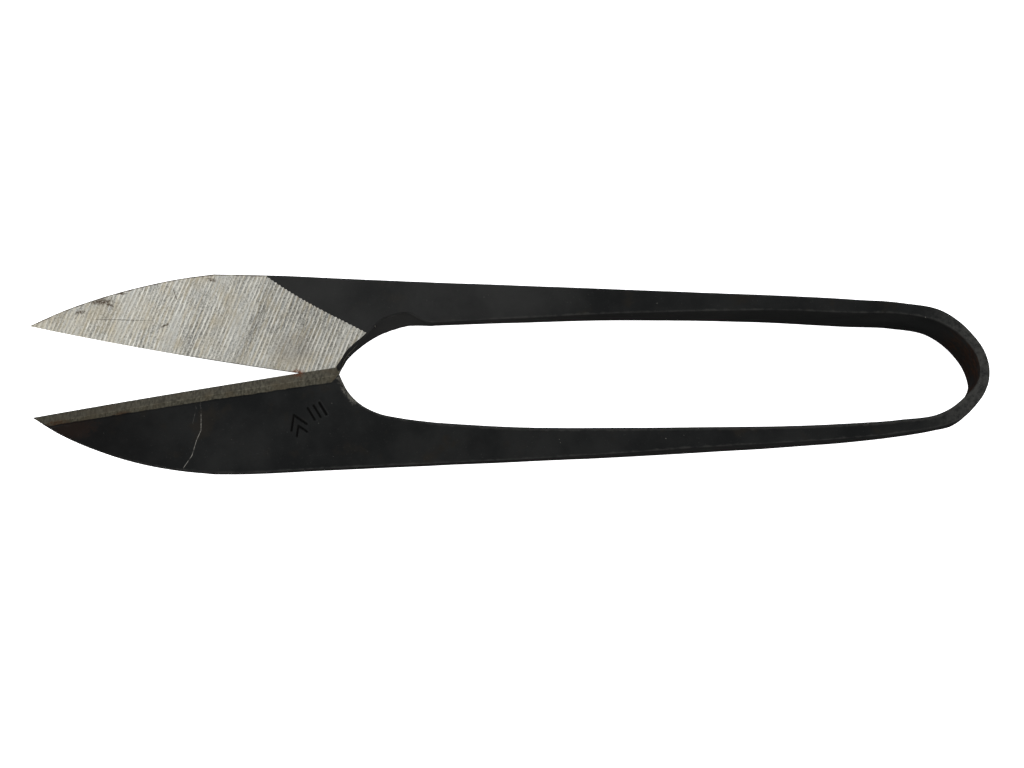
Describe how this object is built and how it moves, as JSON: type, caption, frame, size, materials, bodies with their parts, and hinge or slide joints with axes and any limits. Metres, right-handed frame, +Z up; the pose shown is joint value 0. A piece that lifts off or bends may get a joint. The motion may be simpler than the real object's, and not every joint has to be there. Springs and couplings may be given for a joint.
{
  "type": "thread snips",
  "caption": "U-shaped sprung thread snips: a forged iron strip whose thin bow is the spring, with a pointed blade at each end that slides past the other when squeezed.",
  "frame": {"origin": "under the centre of the part's bounding box, on the surface that the bow's lower edge rests on", "axes": "+X from the blade tips to the bow, +Y across from the lower to the upper half, +Z up, square to the plane on which the blades slide"},
  "size_m": [0.1051, 0.0224, 0.008],
  "materials": {
    "forged_iron": "black forge scale, semi-matt, worn brighter on the edges and rusty inside the bow",
    "blade_steel": "ground bright, with fine cross striations on the flat face"
  },
  "bodies": {
    "spring_bow": {"spring_bow_crown": "forged_iron"},
    "upper_leaf": {"upper_spring_leaf": "forged_iron"},
    "lower_leaf": {"lower_spring_leaf": "forged_iron"},
    "upper_half": {"upper_handle_arm": "forged_iron", "upper_blade_iron_back": "forged_iron", "upper_blade_steel_face": "blade_steel"},
    "lower_half": {"lower_handle_arm": "forged_iron", "lower_blade_iron_back": "forged_iron", "lower_blade_steel_face": "blade_steel"}
  },
  "joints": [
    {"name": "upper_bow_flex", "type": "hinge", "parent": "spring_bow", "child": "upper_leaf", "pos_m": [0.04985, 0.00376, 0.004], "axis": [0, 0, 1], "range_deg": [0, 1.6], "stiffness_Nm_per_rad": 7},
    {"name": "upper_arm_flex", "type": "hinge", "parent": "upper_leaf", "child": "upper_half", "pos_m": [0.038, 0.0068, 0.004], "axis": [0, 0, 1], "range_deg": [0, 1.6], "stiffness_Nm_per_rad": 7},
    {"name": "lower_bow_flex", "type": "hinge", "parent": "spring_bow", "child": "lower_leaf", "pos_m": [0.04905, -0.00455, 0.004], "axis": [0, 0, -1], "range_deg": [0, 1.6], "stiffness_Nm_per_rad": 7},
    {"name": "lower_arm_flex", "type": "hinge", "parent": "lower_leaf", "child": "lower_half", "pos_m": [0.0382, -0.0064, 0.004], "axis": [0, 0, -1], "range_deg": [0, 1.6], "stiffness_Nm_per_rad": 7}
  ],
  "couplings": [
    {"joint": "upper_arm_flex", "follows": "upper_bow_flex", "ratio": 1},
    {"joint": "lower_bow_flex", "follows": "upper_bow_flex", "ratio": 1},
    {"joint": "lower_arm_flex", "follows": "upper_bow_flex", "ratio": 1}
  ]
}
